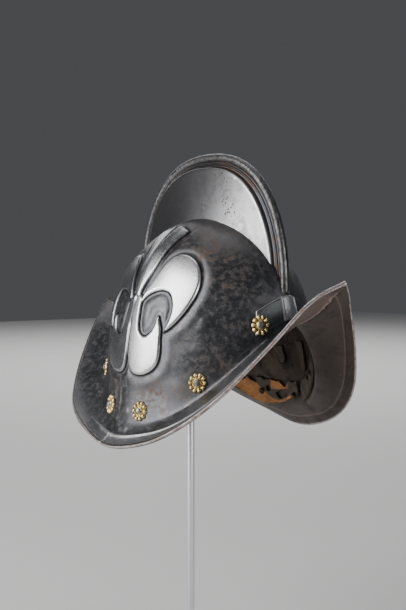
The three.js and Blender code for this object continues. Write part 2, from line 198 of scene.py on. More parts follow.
class MORION_PG_sizes(bpy.types.PropertyGroup):
    wall: length("Wall", 1.8, "Thickness of the raised plate")
    seam: length("Seam", 0.3, "Gap between pieces that touch")
    skull_half_length: length("Skull half length", 119.5, "Middle to brow along the keel")
    skull_half_width: length("Skull half width", 98, "Middle to side")
    skull_taper: ratio("Skull taper", 0.66, "Half is round, one is pointed")
    crown_height: length("Crown height", 192, "Brim root at the sides up to the crown")
    keel_curve: length("Keel curve", 106.5, "Height of the curved part of the keel")
    side_curve: length("Side curve", 146.5, "Height of the curved part of the sides")
    brow_rise: length("Brow rise", 93, "Climb of the brim root from the sides to the brow")
    brow_sweep: ratio("Brow sweep", 2.8, "How late that climb starts")
    root_flare: length("Root flare", 6, "Spread of the skull where it turns into the brim")
    brim_half_length: length("Brim half length", 187, "Middle to the tips")
    brim_half_width: length("Brim half width", 123, "Middle to the brim's edge at the side")
    brim_drop: length("Brim drop", 21.6, "Brim edge below its root at the sides")
    front_tip_rise: length("Front tip rise", 154, "Lowest brim edge up to the front tip")
    rear_tip_rise: length("Rear tip rise", 130, "Lowest brim edge up to the rear tip")
    border_width: length("Border width", 14, "Brim edge to the border crease")
    roll_radius: length("Roll radius", 1.9, "Rolled brim edge")
    comb_half_length: length("Comb half length", 111.4, "Middle to the comb's ends")
    comb_spring: length("Comb spring", 119, "Brim root at the sides up to where the comb starts")
    comb_rise: length("Comb rise", 132.2, "Height of the comb's arch")
    comb_power: ratio("Comb power", 0.855, "One is an ellipse, less is fuller")
    comb_rim: length("Comb rim", 4.2, "Radius of the rolled crest")
    comb_band: length("Comb band", 11.5, "Crest centre to the raised half moon")
    comb_half: length("Comb half thickness", 8.2, "At the half moon's edge")
    comb_foot: length("Comb foot", 12.5, "Half thickness at the crown")
    lily_half_width: length("Lily half width", 67, "Raised lily on each side")
    lily_height: length("Lily height", 138, "Raised lily on each side")
    lily_bottom: length("Lily bottom", 43, "Foot of the lily above the brim root at the sides")
    lily_relief: length("Lily relief", 2, "How far it stands out")
    rosette_radius: length("Rosette radius", 9.5, "Brass rosettes")
    rosette_thick: length("Rosette thickness", 2.6, "Brass rosettes")
    rosette_rise: length("Rosette rise", 10.5, "Square to the brim root")
    rosette_petals: IntProperty(name="Rosette petals", description="Petals on each rosette", default=10)
    rivet_radius: length("Rivet radius", 1.4, "Shank")
    rivet_head: length("Rivet head", 3.4, "Radius of the rivet's head")
    plate_height: length("Joint plate height", 22, "Riveted plates at brow and nape")
    plate_thick: length("Joint plate thickness", 1.5, "Riveted plates at brow and nape")
    plate_rise: length("Joint plate rise", 3, "Above the brim root")
    plate_reach: ratio("Joint plate reach", 26, "Degrees round from the keel")
    plate_level: ratio("Joint plate level", 0.4, "Share of the root's fall that it does not follow")
    leather: length("Leather", 2, "Thickness of the lining band")
    band_height: length("Lining height", 24, "Height of the lining band")
    stand_height: length("Stand height", 262, "Floor to the brim root at the sides")


class MORION_PG_colours(bpy.types.PropertyGroup):
    steel: tint("Blackened steel", (0.078, 0.08, 0.087), "Skull and brim")
    # Also the colour of the painted highlight on the brim's border band
    steel_light: tint("Rubbed steel", (0.27, 0.27, 0.28), "Worn places of the blackened steel")
    rust: tint("Rust", (0.125, 0.08, 0.055), "Brown patches")
    polished: tint("Polished steel", (0.8, 0.8, 0.8), "Lily")
    outline: tint("Chased lines", (0.012, 0.012, 0.014), "Dark lines round the raised parts")
    underside: tint("Underside", (0.06, 0.044, 0.037), "Inside of the steel")
    brass: tint("Brass", (0.87, 0.68, 0.33), "Rosettes")
    leather: tint("Leather", (0.62, 0.27, 0.09), "Lining band")
    rod: tint("Rod", (0.82, 0.84, 0.88), "Polished rod")
    base: tint("Base", (0.03, 0.03, 0.034), "Base plate")
    floor: tint("Floor", (0.78, 0.77, 0.76), "Plain floor")


def sizes():
    return bpy.context.scene.morion_sizes


def colours():
    return bpy.context.scene.morion_colours


# Shape of the skull, brim and comb


def crown_level():
    s = sizes()
    return s.stand_height + s.crown_height


def root_height(turn):
    """Level of the line where skull and brim meet"""
    s = sizes()
    return s.stand_height + s.brow_rise * np.abs(np.cos(turn)) ** s.brow_sweep


def round_off(height, curve):
    """One on the straight wall, falling to zero at the crown"""
    over = np.maximum(0.0, height - (crown_level() - curve)) / curve
    return np.sqrt(np.maximum(0.0, 1 - over * over))


def on_skull(turn, rise, inset=0.0):
    """Points of the skull, turn round from the brow and rise above the brim root"""
    s = sizes()
    root = root_height(turn)
    height = root + rise
    flare = s.root_flare * np.abs(1 - rise / (crown_level() - root)) ** 8
    along = (s.skull_half_length + flare / 2) * round_off(height, s.keel_curve) - inset
    wide = (s.skull_half_width + flare) * round_off(height, s.side_curve) - inset
    out = np.sign(np.sin(turn)) * np.abs(np.sin(turn)) ** (2 * s.skull_taper)
    return np.stack([wide * out, -along * np.cos(turn), height + 0 * wide], axis=-1)


def centripetal(points, steps=60):
    """A smooth curve through points, the same as the one that shapes the solids"""
    p = np.array(points, float)
    p = np.vstack([2 * p[0] - p[1], p, 2 * p[-1] - p[-2]])
    rows = []
    for i in range(1, len(p) - 2):
        a, b, c, d = p[i - 1 : i + 3]
        t0, t1, t2 = (np.linalg.norm(y - x) ** 0.5 for x, y in ((a, b), (b, c), (c, d)))
        m1 = ((b - a) / t0 - (c - a) / (t0 + t1) + (c - b) / t1) * t1
        m2 = ((c - b) / t1 - (d - b) / (t1 + t2) + (d - c) / t2) * t1
        u = np.linspace(0, 1, steps, endpoint=False)[:, None]
        cubic = 2 * b - 2 * c + m1 + m2
        square = -3 * b + 3 * c - 2 * m1 - m2
        rows.append(b + m1 * u + square * u**2 + cubic * u**3)
    rows.append(p[-2][None])
    return np.vstack(rows)


def brim_edge(turn):
    """Points of the brim's edge"""
    s = sizes()
    front = [(row[1], row[2] * s.front_tip_rise, -row[0]) for row in BRIM_EDGE][::-1]
    rear = [(row[3], row[4] * s.rear_tip_rise, row[0]) for row in BRIM_EDGE[1:]]
    shares = np.array(front + rear)
    curve = centripetal(shares * [s.brim_half_width, 1, s.brim_half_length])
    along = -np.cos(turn) * s.brim_half_length
    out = np.sign(np.sin(turn)) * np.interp(along, curve[:, 2], curve[:, 0])
    up = np.interp(along, curve[:, 2], curve[:, 1])
    return np.stack([out, along, s.stand_height - s.brim_drop + up], axis=-1)


def on_brim(turn, across):
    """Points of the brim's upper side, across from its root to its edge"""
    root = on_skull(turn, 0.0, sizes().wall * 0.6)
    edge = brim_edge(turn)
    point = root + (edge - root) * across[..., None]
    sag = 0.1 * np.linalg.norm(edge - root, axis=-1)
    point[..., 2] -= sag * 4 * across * (1 - across)
    return point


def comb_crest(turn):
    """Points of the middle of the comb's rolled crest"""
    s = sizes()
    along = np.sign(np.cos(turn)) * np.abs(np.cos(turn)) ** s.comb_power
    up = np.abs(np.sin(turn)) ** s.comb_power
    level = s.stand_height + s.comb_spring
    return np.stack([0 * turn, -s.comb_half_length * along, level + s.comb_rise * up], axis=-1)


# Meshes


def normals_of(points):
    """Outward unit normals of a grid whose rows run down and columns round"""
    normal = np.cross(np.gradient(points, axis=0), np.gradient(points, axis=1))
    return normal / np.maximum(np.linalg.norm(normal, axis=-1, keepdims=True), 1e-12)


def signed_distance(y, z, outline):
    """Distance of points to a closed outline with rounded corners, negative inside it"""
    shape = np.array(outline, float)
    for _ in range(2):
        ahead = np.roll(shape, -1, axis=0)
        shape = np.stack([0.75 * shape + 0.25 * ahead, 0.25 * shape + 0.75 * ahead], axis=1).reshape(-1, 2)
    point = np.stack([y.ravel(), z.ravel()], axis=-1)
    best = np.full(len(point), np.inf)
    inside = np.zeros(len(point), bool)
    for a, b in zip(shape, np.roll(shape, -1, axis=0)):
        if np.allclose(a, b):
            continue
        edge = b - a
        share = np.clip(((point - a) @ edge) / (edge @ edge), 0, 1)
        best = np.minimum(best, np.linalg.norm(point - a - share[:, None] * edge, axis=1))
        crosses = (a[1] > point[:, 1]) != (b[1] > point[:, 1])
        if a[1] != b[1]:
            at = a[0] + (point[:, 1] - a[1]) / (b[1] - a[1]) * edge[0]
            inside ^= crosses & (point[:, 0] < at)
    return np.where(inside, -best, best).reshape(y.shape)


def smooth(value, low, high):
    """Zero at low and one at high, with soft ends"""
    share = np.clip((value - low) / (high - low), 0, 1)
    return share * share * (3 - 2 * share)


def bell(value, width):
    """One at zero, falling off softly to both sides"""
    return np.exp(-((value / width) ** 2))


def ragged(along):
    """An uneven wave for torn edges"""
    return 0.5 * np.sin(along) + 0.3 * np.sin(along * 2.37 + 1) + 0.2 * np.sin(along * 4.9 + 2)


def grid_faces(rows, columns, close_rows=False, close_columns=False):
    r = np.arange(rows if close_rows else rows - 1)
    c = np.arange(columns if close_columns else columns - 1)
    r, c = np.meshgrid(r, c, indexing="ij")
    below, beside = (r + 1) % rows, (c + 1) % columns
    corners = [r * columns + c, below * columns + c, below * columns + beside, r * columns + beside]
    return np.stack(corners, axis=-1).reshape(-1, 4)


def mark_sharp(piece, degrees):
    """Turn all faces outward and give a flat look across edges sharper than this angle"""
    shape = bmesh.new()
    shape.from_mesh(piece.data)
    bmesh.ops.recalc_face_normals(shape, faces=shape.faces)
    for edge in shape.edges:
        if len(edge.link_faces) == 2:
            edge.smooth = edge.calc_face_angle(0) < math.radians(degrees)
    shape.to_mesh(piece.data)
    shape.free()


def make_piece(name, points, faces, finishes, nodes, fields=None, sharp=None, slots=None, caps=()):
    """A mesh that stands for CAD nodes and rides on the helmet's one body"""
    mesh = bpy.data.meshes.new(name)
    all_faces = [tuple(int(i) for i in face) for face in (*faces, *caps)]
    mesh.from_pydata([tuple(p) for p in points.reshape(-1, 3)], [], all_faces)
    for finish in finishes:
        mesh.materials.append(finish)
    if slots is not None:
        mesh.polygons.foreach_set("material_index", np.pad(slots, (0, len(caps))).astype(np.int32))
    mesh.polygons.foreach_set("use_smooth", np.ones(len(mesh.polygons), bool))
    for key, value in (fields or {}).items():
        layer = mesh.attributes.new(key, "FLOAT", "POINT")
        layer.data.foreach_set("value", np.asarray(value, np.float32).ravel())
    mesh.update()
    mesh.validate()
    piece = bpy.data.objects.new(name, mesh)
    bpy.context.scene.collection.objects.link(piece)
    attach(piece, "root")
    if nodes:
        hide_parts(*nodes)
    if sharp is not None:
        mark_sharp(piece, sharp)


def make_half(side, piece, points, out, finishes, fields, slots=None):
    """One of two mirrored closed shapes, out from the joint and flat where they meet"""
    s = sizes()
    placed = points.copy()
    placed[..., 0] = side * (out + s.seam / 2)
    rows, columns = points.shape[:2]
    faces = grid_faces(rows, columns, close_rows=True)
    front = np.arange(rows) * columns
    caps = [front[::-1], front + columns - 1]
    if side < 0:
        faces, caps = faces[:, ::-1], [cap[::-1] for cap in caps]
    name, nodes = f"{SIDES[side]}_{piece}", [f"{SIDES[side]}_half"]
    make_piece(name, placed, faces, finishes, nodes, fields, slots=slots, caps=caps)


def sheet_mesh(outer, inner, keep=None):
    """A closed sheet between two grids of points, with holes and torn edges where keep is false"""
    rows, columns = outer.shape[:2]
    keep = np.ones((rows - 1, columns - 1), bool) if keep is None else keep.copy()
    for _ in range(3):
        keep[1:, 1:] |= keep[:-1, 1:] & keep[1:, :-1] & ~keep[:-1, :-1]
        keep[1:, :-1] |= keep[:-1, :-1] & keep[1:, 1:] & ~keep[:-1, 1:]
    shift = rows * columns
    quads = grid_faces(rows, columns).reshape(rows - 1, columns - 1, 4)
    padded = np.pad(keep, 1)
    faces = [quads[keep], quads[keep][:, ::-1] + shift]
    for corner, (down, along) in enumerate(((0, -1), (1, 0), (0, 1), (-1, 0))):
        beside = padded[1 + down : rows + down, 1 + along : columns + along]
        rim = quads[keep & ~beside]
        a, b = rim[:, corner], rim[:, (corner + 1) % 4]
        faces.append(np.stack([b, a, a + shift, b + shift], axis=-1))
    faces = np.concatenate(faces)
    points = np.concatenate([outer.reshape(-1, 3), inner.reshape(-1, 3)])
    used, place = np.unique(faces, return_inverse=True)
    return points[used], place.reshape(-1, 4), used


def make_sheet(name, outer, inner, finish, nodes, fields, sharp, keep=None):
    """A piece from two grids of points, with fields given over the grid"""
    points, faces, used = sheet_mesh(outer, inner, keep)
    shape = outer.shape[:2]
    spread = {key: np.tile(np.broadcast_to(field, shape).ravel(), 2)[used] for key, field in fields.items()}
    make_piece(name, points, faces, [finish], nodes, spread, sharp)


def lathe_mesh(profile, segments):
    """Points and faces of a turned solid about +Z, whose profile starts and ends on the axis"""
    angles = np.linspace(0, 2 * math.pi, segments, endpoint=False)
    inner = profile[1:-1]
    rings = [[(r * math.cos(a), r * math.sin(a), z) for a in angles] for r, z in inner]
    points = [p for ring in rings for p in ring] + [(0, 0, profile[0][1]), (0, 0, profile[-1][1])]
    faces = [tuple(face) for face in grid_faces(len(inner), segments, close_columns=True)[:, ::-1]]
    low, high = len(points) - 2, len(points) - 1
    last = (len(inner) - 1) * segments
    for i in range(segments):
        j = (i + 1) % segments
        faces += [(low, j, i), (high, last + i, last + j)]
    return np.array(points), faces


def make_turned(name, profile, segments, box, finish, node):
    """A turned piece on the upright axis of its node's box"""
    points, faces = lathe_mesh(profile, segments)
    middle = [(box[0][0] + box[1][0]) / 2, (box[0][1] + box[1][1]) / 2, 0]
    make_piece(name, points + np.array(middle), faces, [finish], [node], sharp=40)


# Materials


class Graph:
    """Short calls for building a node tree"""

    def __init__(self, tree):
        self.tree = tree
        self.x = -1400
        self.coordinates = None

    def node(self, kind, values=None, **settings):
        made = self.tree.nodes.new(kind)
        self.x += 60
        made.location = (self.x, -len(self.tree.nodes) * 25)
        for key, value in settings.items():
            setattr(made, key, value)
        for key, value in (values or {}).items():
            self.feed(value, made.inputs[key])
        return made

    def feed(self, value, socket):
        if isinstance(value, bpy.types.NodeSocket):
            self.tree.links.new(value, socket)
        elif socket.type == "RGBA":
            socket.default_value = (*value, 1.0)
        else:
            socket.default_value = value

    def math(self, operation, *values, clamp=False):
        made = self.node("ShaderNodeMath", operation=operation, use_clamp=clamp)
        for socket, value in zip(made.inputs, values):
            self.feed(value, socket)
        return made.outputs[0]

    def times(self, a, b, plus=0.0, clamp=False):
        """a times b, plus a third value"""
        return self.math("MULTIPLY_ADD", a, b, plus, clamp=clamp)

    def ramp(self, value, low, high, start=0.0, end=1.0):
        """From start at low to end at high, with soft ends"""
        values = {"Value": value, "From Min": low, "From Max": high, "To Min": start, "To Max": end}
        return self.node("ShaderNodeMapRange", values, interpolation_type="SMOOTHSTEP").outputs["Result"]

    def level(self, share, a, b):
        """Number from a to b by a share"""
        return self.node("ShaderNodeMix", {"Factor": share, "A": a, "B": b}).outputs[0]

    def mix(self, share, a, b):
        """Colour from a to b by a share"""
        made = self.node("ShaderNodeMix", {"Factor": share, "A": a, "B": b}, data_type="RGBA")
        return next(o for o in made.outputs if o.type == "RGBA")

    def coats(self, tone, *coats):
        """A tone with coats laid over it, each with its mask, colour and amount"""
        for mask, colour, amount in coats:
            tone = self.mix(self.times(mask, amount), tone, colour)
        return tone

    def noise(self, vector, scale, detail, roughness=0.6):
        values = {"Vector": vector, "Scale": scale, "Detail": detail, "Roughness": roughness}
        return self.node("ShaderNodeTexNoise", values).outputs["Fac"]

    def attribute(self, name):
        return self.node("ShaderNodeAttribute", attribute_name=name).outputs["Fac"]

    def place(self):
        if self.coordinates is None:
            self.coordinates = self.node("ShaderNodeTexCoord").outputs["Object"]
        return self.coordinates

    def group(self, name, **values):
        made = self.node("ShaderNodeGroup")
        made.node_tree = group_tree(name)
        for key, value in {"Vector": self.place(), **values}.items():
            self.feed(value, made.inputs[key])
        return made.outputs


class Finish(Graph):
    """A material with one shader"""

    def __init__(self, name):
        self.material = bpy.data.materials.new(name)
        self.material.use_nodes = True
        self.material.node_tree.nodes.clear()
        super().__init__(self.material.node_tree)
        self.shader = self.node("ShaderNodeBsdfPrincipled")
        self.node("ShaderNodeOutputMaterial", {"Surface": self.shader.outputs[0]})

    def done(self, colour, roughness, metallic=0.0, height=None, strength=0.0, depth=0.0):
        """The finished material, with its relief depth in millimetres"""
        looks = {"Base Color": colour, "Roughness": roughness, "Metallic": metallic}
        if height is not None:
            relief = {"Height": height, "Strength": strength, "Distance": depth * MM}
            looks["Normal"] = self.node("ShaderNodeBump", relief).outputs[0]
        for key, value in looks.items():
            self.feed(value, self.shader.inputs[key])
        return self.material


def patina(g, start, end):
    """Uneven patches of an old surface"""
    coarse = g.noise(start["Vector"], start["Scale"], 6.0, 0.68)
    fine = g.noise(start["Vector"], g.times(start["Scale"], 14.0), 3.0, 0.7)
    both = g.times(fine, 0.22, g.math("SUBTRACT", coarse, 0.11))
    low = g.times(g.math("SUBTRACT", 1.0, start["Cover"]), 0.4, 0.26)
    g.feed(g.ramp(both, low, g.math("ADD", low, 0.14)), end["Patches"])
    g.feed(g.ramp(fine, 0.3, 0.72), end["Grain"])
    g.feed(g.times(fine, 0.35, g.times(coarse, 0.65)), end["Height"])


def rubbing(g, start, end):
    """Fine rubbing marks along one direction, broken up by patches"""
    angle = g.node("ShaderNodeCombineXYZ", {"X": start["Turn"], "Y": 0.35, "Z": 0.2}).outputs[0]
    stretch = {"Vector": start["Vector"], "Rotation": angle, "Scale": (1.0, 0.06, 1.0)}
    turned = g.node("ShaderNodeMapping", stretch).outputs[0]
    lines = g.noise(turned, g.times(start["Scale"], 12.0), 2.0, 0.55)
    broken = g.noise(start["Vector"], start["Scale"], 3.0, 0.6)
    marks = g.times(g.ramp(lines, 0.6, 0.72), g.ramp(broken, 0.45, 0.62))
    g.feed(g.times(marks, start["Amount"]), end["Marks"])


def pits(g, start, end):
    """Small rust pits, sparse and of uneven size"""
    wobble = g.noise(start["Vector"], g.times(start["Scale"], 1.7), 2.0, 0.6)
    cells = g.node("ShaderNodeTexVoronoi", {"Vector": start["Vector"], "Scale": start["Scale"]})
    spread = g.noise(start["Vector"], g.times(start["Scale"], 0.13), 3.0, 0.6)
    size = g.times(g.ramp(spread, 0.5, 0.72), start["Amount"])
    near = g.times(wobble, 0.25, cells.outputs["Distance"])
    found = g.ramp(g.math("SUBTRACT", near, g.times(size, 0.42)), 0.0, 0.12, 1.0, 0.0)
    g.feed(found, end["Pits"])
    g.feed(g.math("SUBTRACT", 1.0, found), end["Height"])


# Shared effects: what builds each, its inputs beside the place, its outputs
EFFECTS = {
    "Patina": (patina, {"Scale": 30.0, "Cover": 0.5}, ("Patches", "Grain", "Height")),
    "Rubbing": (rubbing, {"Turn": 0.0, "Scale": 60.0, "Amount": 0.5}, ("Marks",)),
    "Pits": (pits, {"Scale": 300.0, "Amount": 0.5}, ("Pits", "Height")),
}


def group_tree(name):
    """The node group of a shared effect, built once"""
    tree = bpy.data.node_groups.get(name)
    if tree:
        return tree
    build, inputs, outputs = EFFECTS[name]
    tree = bpy.data.node_groups.new(name, "ShaderNodeTree")
    tree.interface.new_socket(name="Vector", in_out="INPUT", socket_type="NodeSocketVector")
    for label, default in inputs.items():
        socket = tree.interface.new_socket(name=label, in_out="INPUT", socket_type="NodeSocketFloat")
        socket.default_value = default
    for label in outputs:
        tree.interface.new_socket(name=label, in_out="OUTPUT", socket_type="NodeSocketFloat")
    g = Graph(tree)
    build(g, g.node("NodeGroupInput").outputs, g.node("NodeGroupOutput").inputs)
    return tree


def steel_outside():
    """Blackened steel with a polished ornament, rubbed high places and rust, painted highlights on the
    brim's border band and crease, and painted shade on parts of the lily
    """
    c, g = colours(), Finish("blackened_steel")
    old = g.group("Patina", Scale=200.0, Cover=0.5)
    cloud = g.group("Patina", Scale=60.0, Cover=0.5)["Patches"]
    marks = g.group("Rubbing", Turn=0.5, Scale=70.0, Amount=0.5)["Marks"]
    pitted = g.group("Pits", Scale=420.0, Amount=0.75)
    ornament = g.attribute("ornament")
    uneven = g.times(cloud, 0.2, g.times(old["Patches"], 0.2))
    brown = g.times(cloud, 0.3, g.times(old["Patches"], 0.75, 0.05))
    brown = g.times(g.attribute("rust"), brown, clamp=True)
    faint = g.times(g.times(old["Patches"], cloud), 0.35, brown, clamp=True)
    # painted highlight: the brim's border band outside the crease is painted lighter
    light = g.times(g.attribute("band"), g.times(old["Patches"], -0.3, 1.0))
    # bare steel where rubbed or chipped, with a painted highlight along the border crease
    bare_and_highlit = g.times(marks, 0.5, g.times(g.attribute("chips_and_highlights"), 0.75), clamp=True)
    line = g.times(g.ramp(ornament, 0.15, 0.5), g.ramp(ornament, 1.1, 1.9, 1.0, 0.0))
    steel = g.coats(
        g.mix(uneven, c.steel, c.steel_light),
        (old["Grain"], c.steel_light, 0.2),
        (faint, c.rust, 0.8),
        (light, c.steel_light, 1.0),
        (bare_and_highlit, (0.62, 0.61, 0.6), 1.0),
        (line, c.outline, 0.9),
    )
    shine = g.coats(
        c.polished,
        (pitted["Pits"], (0.06, 0.055, 0.05), 0.85),
        (old["Grain"], (0.35, 0.34, 0.33), 0.12),
        # painted shade on parts of the polished lily
        (g.attribute("shade"), (0.16, 0.165, 0.18), 0.75),
    )
    bright = g.ramp(ornament, -0.35, 0.35, 1.0, 0.0)
    dull = g.times(faint, 0.16, g.times(old["Patches"], 0.1, 0.36))
    rough = g.level(bright, dull, g.times(pitted["Pits"], 0.3, 0.27))
    height = g.times(pitted["Height"], g.times(bright, 0.4), g.times(marks, -0.2, old["Height"]))
    return g.done(g.mix(bright, steel, shine), rough, g.times(faint, -0.35, 0.95), height, 0.1, 0.8)


def steel_inside():
    """Dull brown-grey steel of the inside and the brim's underside, with the skull's inside painted near
    black as shade
    """
    c, g = colours(), Finish("dull_steel_inside")
    old = g.group("Patina", Scale=60.0, Cover=0.45)
    tone = g.coats(
        c.underside,
        (old["Patches"], c.underside * 0.6, 0.5),
        (old["Grain"], (0.09, 0.07, 0.06), 0.3),
        (g.group("Pits", Scale=380.0, Amount=0.6)["Pits"], (0.4, 0.34, 0.31), 0.6),
        (g.group("Rubbing", Turn=1.2, Scale=90.0, Amount=0.6)["Marks"], (0.4, 0.36, 0.34), 0.3),
        (g.attribute("band"), (0.3, 0.21, 0.18), 0.5),
        # painted shade: the skull's inside, and the slit of the lap under the front tip, made near black
        (g.attribute("hollow_tarnish_and_shade"), g.mix(old["Patches"], (0.05, 0.034, 0.024), (0.02, 0.014, 0.01)), 0.9),
    )
    return g.done(tone, g.times(old["Patches"], 0.14, 0.44), 0.6, old["Height"], 0.35, 0.8)


def steel_edge():
    """Worn rolled edge with reddish rust in its low places, and a painted highlight near the front tip"""
    g = Finish("worn_edge")
    old = g.group("Patina", Scale=190.0, Cover=0.5)
    rusted = (old["Patches"], (0.24, 0.16, 0.14), 0.7)
    # the bright coat is a painted highlight near the front tip
    tone = g.coats((0.5, 0.46, 0.45), rusted, (g.attribute("chips_and_highlights"), (0.9, 0.88, 0.85), 1.0))
    return g.done(tone, g.times(old["Patches"], 0.2, 0.3), 0.9, old["Height"], 0.5, 0.6)


def steel_comb():
    """Comb: polished half moon painted lighter towards its lower front as a painted highlight, in a dark
    band with a lighter rib and a rough bright crest
    """
    c, g = colours(), Finish("comb_steel")
    old = g.group("Patina", Scale=90.0, Cover=0.5)
    crust = g.group("Patina", Scale=330.0, Cover=0.5)
    cloud = g.group("Patina", Scale=45.0, Cover=0.4)["Patches"]
    marks = g.group("Rubbing", Turn=0.2, Scale=110.0, Amount=0.4)["Marks"]
    pitted = g.group("Pits", Scale=300.0, Amount=1.0)["Pits"]
    moon, crest = g.attribute("moon"), g.attribute("crest")
    dark = g.coats(c.steel, (old["Patches"], c.rust, 0.7))
    worn = g.coats((0.16, 0.158, 0.16), (crust["Patches"], (0.06, 0.052, 0.05), 0.75))
    bright = g.ramp(moon, -0.35, 0.35, 1.0, 0.0)
    shine = g.coats(
        # painted highlight: the half moon is lighter towards its lower front
        g.mix(g.attribute("moon_highlight"), (0.14, 0.14, 0.145), (0.6, 0.6, 0.61)),
        (cloud, (0.12, 0.115, 0.115), 0.5),
        (old["Patches"], (0.14, 0.135, 0.135), 0.3),
        (old["Grain"], (0.1, 0.1, 0.1), 0.25),
        (pitted, (0.05, 0.045, 0.04), 0.9),
        (marks, (0.6, 0.6, 0.6), 0.5),
        (g.times(g.ramp(moon, -1.3, -0.7), bright), (0.95, 0.93, 0.9), 0.6),
    )
    rough = g.level(bright, g.times(old["Patches"], 0.15, 0.33), g.times(pitted, 0.3, 0.3))
    height = g.times(old["Height"], 0.4, g.times(crust["Height"], g.times(crest, 0.7)))
    return g.done(g.mix(bright, g.mix(crest, dark, worn), shine), rough, 0.95, height, 0.45, 0.9)


def plate_steel():
    """Joint plate: dark with scratches, bright round its edges, with a painted highlight along its fold and
    its front facet painted light as if lit
    """
    g = Finish("joint_plate_steel")
    old = g.group("Patina", Scale=150.0, Cover=0.4)
    marks = g.group("Rubbing", Turn=0.9, Scale=110.0, Amount=1.0)["Marks"]
    # painted light on the front facet beyond the fold
    lit_facet_tone = g.coats((0.75, 0.75, 0.78), (old["Patches"], (0.4, 0.4, 0.42), 0.5))
    tone = g.coats(
        (0.13, 0.145, 0.15),
        (old["Patches"], (0.24, 0.245, 0.25), 0.5),
        (marks, (0.5, 0.5, 0.5), 0.7),
        (g.attribute("painted_lit_facet"), lit_facet_tone, 0.85),
        (g.attribute("fold_highlight"), (0.95, 0.95, 0.95), 1.0),
    )
    return g.done(tone, g.times(old["Patches"], 0.12, 0.36), 0.92, old["Height"], 0.3, 0.6)


def brass():
    """Worn brass, dark in its hollows"""
    g = Finish("worn_brass")
    old = g.group("Patina", Scale=260.0, Cover=0.4)
    stained = (old["Patches"], (0.5, 0.37, 0.18), 0.45)
    tone = g.coats(colours().brass, stained, (g.attribute("hollow_tarnish_and_shade"), (0.07, 0.05, 0.025), 1.0))
    return g.done(tone, g.times(old["Patches"], 0.18, 0.27), 1.0, old["Height"], 0.3, 0.4)


def rivet_steel():
    """Rivet heads, dark on the inner side"""
    g = Finish("rivet_steel")
    old = g.group("Patina", Scale=260.0, Cover=0.5)
    tone = g.mix(old["Patches"], (0.42, 0.4, 0.37), (0.16, 0.13, 0.1))
    tone = g.mix(g.attribute("inner"), tone, (0.05, 0.038, 0.03))
    return g.done(tone, g.times(old["Patches"], 0.2, 0.34), 0.95, old["Height"], 0.4, 0.4)


def old_leather():
    """Dark dried leather, tan where its flesh side or a fresh tear shows"""
    g = Finish("old_leather")
    old = g.group("Patina", Scale=110.0, Cover=0.5)
    cells = {"Vector": g.place(), "Scale": 520.0}
    crack = g.ramp(g.node("ShaderNodeTexVoronoi", cells, feature="DISTANCE_TO_EDGE").outputs[0], 0.0, 0.16)
    tan = g.coats(colours().leather, (old["Patches"], (0.3, 0.12, 0.04), 0.55))
    dark = g.coats((0.1, 0.075, 0.055), (old["Patches"], (0.045, 0.035, 0.028), 0.7))
    tone = g.mix(g.attribute("tan"), dark, tan)
    tone = g.mix(g.times(crack, -0.3, 0.3), tone, (0.06, 0.032, 0.018))
    height = g.times(crack, 0.4, old["Height"])
    return g.done(tone, g.times(old["Grain"], 0.2, 0.58), 0.0, height, 0.5, 0.8)


def polished_rod():
    """Polished metal with a few fine marks"""
    g = Finish("polished_rod")
    marks = g.group("Rubbing", Turn=0.0, Scale=90.0, Amount=0.6)["Marks"]
    return g.done(g.mix(marks, colours().rod, (0.5, 0.52, 0.56)), g.times(marks, 0.12, 0.09), 1.0)


def satin_black(name):
    """Black paint with a faint grain"""
    c, g = colours(), Finish(name)
    old = g.group("Patina", Scale=140.0, Cover=0.3)
    tone = g.coats(c.base, (old["Grain"], c.base * 1.9, 0.4))
    return g.done(tone, g.times(old["Patches"], 0.1, 0.42), 0.0, old["Height"], 0.15, 0.4)


# Pieces


def lily_share(points):
    """Share of the lily's height at which each point lies"""
    s = sizes()
    return (points[..., 2] - s.stand_height - s.lily_bottom) / s.lily_height


def lily_distances(points):
    """Signed distance of points to the lily's outline and to the leaf on its middle petal"""
    out = np.abs(points[..., 1]) / sizes().lily_half_width * LILY_OUT
    up = lily_share(points) * LILY_UP
    petals = [signed_distance(out, up, outline) for outline in (SIDE_PETAL, LOBE, MIDDLE_PETAL)]
    return np.minimum.reduce(petals), signed_distance(out, up, LEAF)


def spots(points, rows):
    """Sum of the soft round or oval spots of a table"""
    forward, up = -points[..., 1] / MM, points[..., 2] / MM
    return sum(
        strength * bell(forward - ahead, radii[0]) * bell(up - level, radii[-1])
        for ahead, level, *radii, strength in rows
    )


